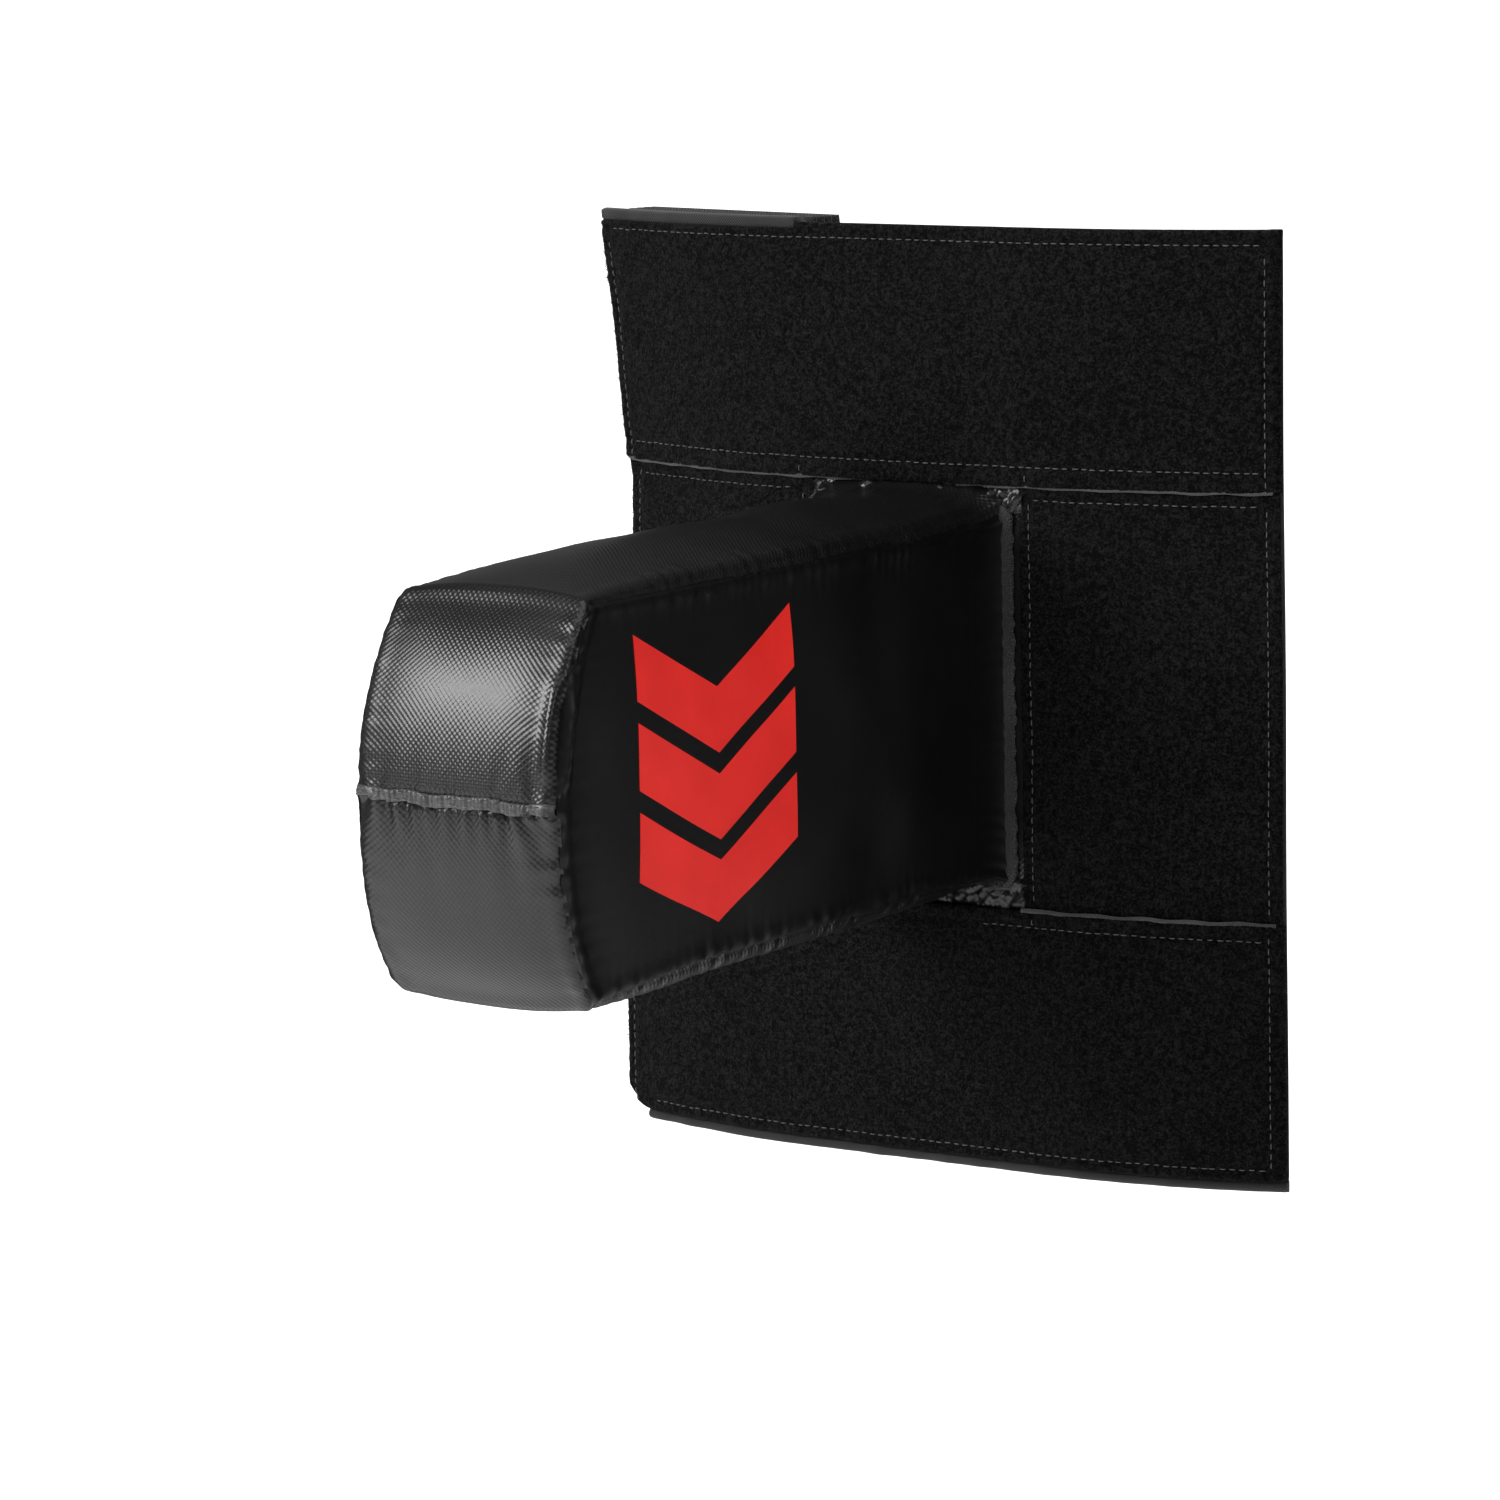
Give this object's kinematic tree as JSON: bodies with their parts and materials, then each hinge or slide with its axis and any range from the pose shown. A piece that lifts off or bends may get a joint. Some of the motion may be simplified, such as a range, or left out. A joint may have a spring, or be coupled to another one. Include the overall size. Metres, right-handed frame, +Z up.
{
  "type": "bag mounted kick shield",
  "caption": "Padded rectangular striking arm on a curved loop-cloth wrap panel, with folded closing belts that fasten it round a heavy bag.",
  "frame": {"origin": "on the flat rear face of the panel's centre section, at the panel's mid-height and mid-width", "axes": "+Z up along the panel's height, +Y backwards into the bag, so the arm points along -Y; +X is the side with the aim mark, and the belts fold up behind the -X wing"},
  "size_m": [0.3222, 0.3595, 0.385],
  "materials": {
    "loop_cloth": "matte",
    "lining_cloth": "matte",
    "panel_foam": "matte",
    "edge_binding": "matte",
    "vinyl": "satin",
    "scrim_vinyl": "gloss",
    "soft_foam": "matte",
    "core_foam": "matte",
    "mark_print": "satin",
    "belt_cloth": "matte",
    "hook_tape": "matte"
  },
  "bodies": {
    "panel": {"centre_lining": "lining_cloth", "centre_pad": "panel_foam", "centre_top_band": "loop_cloth", "centre_bottom_band": "loop_cloth", "centre_top_binding": "edge_binding", "centre_bottom_binding": "edge_binding", "root_flange": "scrim_vinyl", "root_binding": "scrim_vinyl"},
    "left_wing": {"left_lining": "lining_cloth", "left_pad": "panel_foam", "left_top_band": "loop_cloth", "left_mid_panel": "loop_cloth", "left_bottom_band": "loop_cloth", "left_top_binding": "edge_binding", "left_bottom_binding": "edge_binding", "top_belt_anchor": "belt_cloth", "bottom_belt_anchor": "belt_cloth"},
    "right_wing": {"right_lining": "lining_cloth", "right_pad": "panel_foam", "right_top_band": "loop_cloth", "right_mid_panel": "loop_cloth", "right_bottom_band": "loop_cloth", "right_top_binding": "edge_binding", "right_bottom_binding": "edge_binding"},
    "neck": {"neck_foam": "soft_foam", "root_skirt": "scrim_vinyl"},
    "arm": {"foam_core": "core_foam", "foam_left": "soft_foam", "foam_right": "soft_foam", "foam_top": "soft_foam", "foam_bottom": "soft_foam", "foam_nose": "soft_foam", "cover_side_left": "vinyl", "cover_side_right": "vinyl", "upper_gusset": "scrim_vinyl", "lower_gusset": "scrim_vinyl", "end_seam_strip": "scrim_vinyl", "aim_mark": "mark_print"},
    "top_belt_1": {"top_belt_fold_1": "belt_cloth"},
    "top_belt_2": {"top_belt_fold_2": "belt_cloth"},
    "top_belt_3": {"top_belt_fold_3": "belt_cloth"},
    "top_belt_4": {"top_belt_fold_4": "belt_cloth"},
    "top_belt_5": {"top_belt_fold_5": "belt_cloth"},
    "top_belt_6": {"top_belt_fold_6": "belt_cloth"},
    "top_belt_7": {"top_belt_fold_7": "belt_cloth"},
    "top_belt_8": {"top_belt_fold_8": "belt_cloth", "top_hook_patch": "hook_tape"},
    "bottom_belt_1": {"bottom_belt_fold_1": "belt_cloth"},
    "bottom_belt_2": {"bottom_belt_fold_2": "belt_cloth"},
    "bottom_belt_3": {"bottom_belt_fold_3": "belt_cloth"},
    "bottom_belt_4": {"bottom_belt_fold_4": "belt_cloth"},
    "bottom_belt_5": {"bottom_belt_fold_5": "belt_cloth"},
    "bottom_belt_6": {"bottom_belt_fold_6": "belt_cloth"},
    "bottom_belt_7": {"bottom_belt_fold_7": "belt_cloth"},
    "bottom_belt_8": {"bottom_belt_fold_8": "belt_cloth", "bottom_hook_patch": "hook_tape"}
  },
  "joints": [
    {"name": "left_wing_flex", "type": "hinge", "parent": "panel", "child": "left_wing", "pos_m": [-0.053, 0, 0], "axis": [0, 0, -1], "range_deg": [-10, 30], "stiffness_Nm_per_rad": 0.8},
    {"name": "right_wing_flex", "type": "hinge", "parent": "panel", "child": "right_wing", "pos_m": [0.053, 0, 0], "axis": [0, 0, 1], "range_deg": [-10, 30], "stiffness_Nm_per_rad": 0.8},
    {"name": "arm_pitch", "type": "hinge", "parent": "panel", "child": "neck", "pos_m": [0, -0.022, 0.002], "axis": [1, 0, 0], "range_deg": [-8, 8], "stiffness_Nm_per_rad": 30, "springref_deg": -1.15, "deforming": ["root_skirt"]},
    {"name": "arm_yaw", "type": "hinge", "parent": "neck", "child": "arm", "pos_m": [0, -0.022, 0.002], "axis": [0, 0, 1], "range_deg": [-20, 20], "stiffness_Nm_per_rad": 12},
    {"name": "top_belt_open", "type": "hinge", "parent": "left_wing", "child": "top_belt_1", "pos_m": [-0.15663, 0.02188, 0.1415], "axis": [0, 0, 1], "range_deg": [0, 176]},
    {"name": "top_belt_crease_2", "type": "hinge", "parent": "top_belt_1", "child": "top_belt_2", "pos_m": [-0.05192, 0.00524, 0.1415], "axis": [0, 0, 1], "range_deg": [-176, 0]},
    {"name": "top_belt_crease_3", "type": "hinge", "parent": "top_belt_2", "child": "top_belt_3", "pos_m": [-0.15585, 0.02621, 0.1415], "axis": [0, 0, 1], "range_deg": [0, 176]},
    {"name": "top_belt_crease_4", "type": "hinge", "parent": "top_belt_3", "child": "top_belt_4", "pos_m": [-0.05114, 0.00957, 0.1415], "axis": [0, 0, 1], "range_deg": [-176, 0]},
    {"name": "top_belt_crease_5", "type": "hinge", "parent": "top_belt_4", "child": "top_belt_5", "pos_m": [-0.15507, 0.03054, 0.1415], "axis": [0, 0, 1], "range_deg": [0, 176]},
    {"name": "top_belt_crease_6", "type": "hinge", "parent": "top_belt_5", "child": "top_belt_6", "pos_m": [-0.05036, 0.0139, 0.1415], "axis": [0, 0, 1], "range_deg": [-176, 0]},
    {"name": "top_belt_crease_7", "type": "hinge", "parent": "top_belt_6", "child": "top_belt_7", "pos_m": [-0.15429, 0.03487, 0.1415], "axis": [0, 0, 1], "range_deg": [0, 176]},
    {"name": "top_belt_crease_8", "type": "hinge", "parent": "top_belt_7", "child": "top_belt_8", "pos_m": [-0.04958, 0.01823, 0.1415], "axis": [0, 0, 1], "range_deg": [-176, 0]},
    {"name": "bottom_belt_open", "type": "hinge", "parent": "left_wing", "child": "bottom_belt_1", "pos_m": [-0.15663, 0.02188, -0.138], "axis": [0, 0, 1], "range_deg": [0, 176]},
    {"name": "bottom_belt_crease_2", "type": "hinge", "parent": "bottom_belt_1", "child": "bottom_belt_2", "pos_m": [-0.05192, 0.00524, -0.138], "axis": [0, 0, 1], "range_deg": [-176, 0]},
    {"name": "bottom_belt_crease_3", "type": "hinge", "parent": "bottom_belt_2", "child": "bottom_belt_3", "pos_m": [-0.15585, 0.02621, -0.138], "axis": [0, 0, 1], "range_deg": [0, 176]},
    {"name": "bottom_belt_crease_4", "type": "hinge", "parent": "bottom_belt_3", "child": "bottom_belt_4", "pos_m": [-0.05114, 0.00957, -0.138], "axis": [0, 0, 1], "range_deg": [-176, 0]},
    {"name": "bottom_belt_crease_5", "type": "hinge", "parent": "bottom_belt_4", "child": "bottom_belt_5", "pos_m": [-0.15507, 0.03054, -0.138], "axis": [0, 0, 1], "range_deg": [0, 176]},
    {"name": "bottom_belt_crease_6", "type": "hinge", "parent": "bottom_belt_5", "child": "bottom_belt_6", "pos_m": [-0.05036, 0.0139, -0.138], "axis": [0, 0, 1], "range_deg": [-176, 0]},
    {"name": "bottom_belt_crease_7", "type": "hinge", "parent": "bottom_belt_6", "child": "bottom_belt_7", "pos_m": [-0.15429, 0.03487, -0.138], "axis": [0, 0, 1], "range_deg": [0, 176]},
    {"name": "bottom_belt_crease_8", "type": "hinge", "parent": "bottom_belt_7", "child": "bottom_belt_8", "pos_m": [-0.04958, 0.01823, -0.138], "axis": [0, 0, 1], "range_deg": [-176, 0]}
  ],
  "couplings": [
    {"joint": "top_belt_crease_2", "follows": "top_belt_open", "ratio": -1},
    {"joint": "top_belt_crease_3", "follows": "top_belt_open", "ratio": 1},
    {"joint": "top_belt_crease_4", "follows": "top_belt_open", "ratio": -1},
    {"joint": "top_belt_crease_5", "follows": "top_belt_open", "ratio": 1},
    {"joint": "top_belt_crease_6", "follows": "top_belt_open", "ratio": -1},
    {"joint": "top_belt_crease_7", "follows": "top_belt_open", "ratio": 1},
    {"joint": "top_belt_crease_8", "follows": "top_belt_open", "ratio": -1},
    {"joint": "bottom_belt_crease_2", "follows": "bottom_belt_open", "ratio": -1},
    {"joint": "bottom_belt_crease_3", "follows": "bottom_belt_open", "ratio": 1},
    {"joint": "bottom_belt_crease_4", "follows": "bottom_belt_open", "ratio": -1},
    {"joint": "bottom_belt_crease_5", "follows": "bottom_belt_open", "ratio": 1},
    {"joint": "bottom_belt_crease_6", "follows": "bottom_belt_open", "ratio": -1},
    {"joint": "bottom_belt_crease_7", "follows": "bottom_belt_open", "ratio": 1},
    {"joint": "bottom_belt_crease_8", "follows": "bottom_belt_open", "ratio": -1}
  ]
}
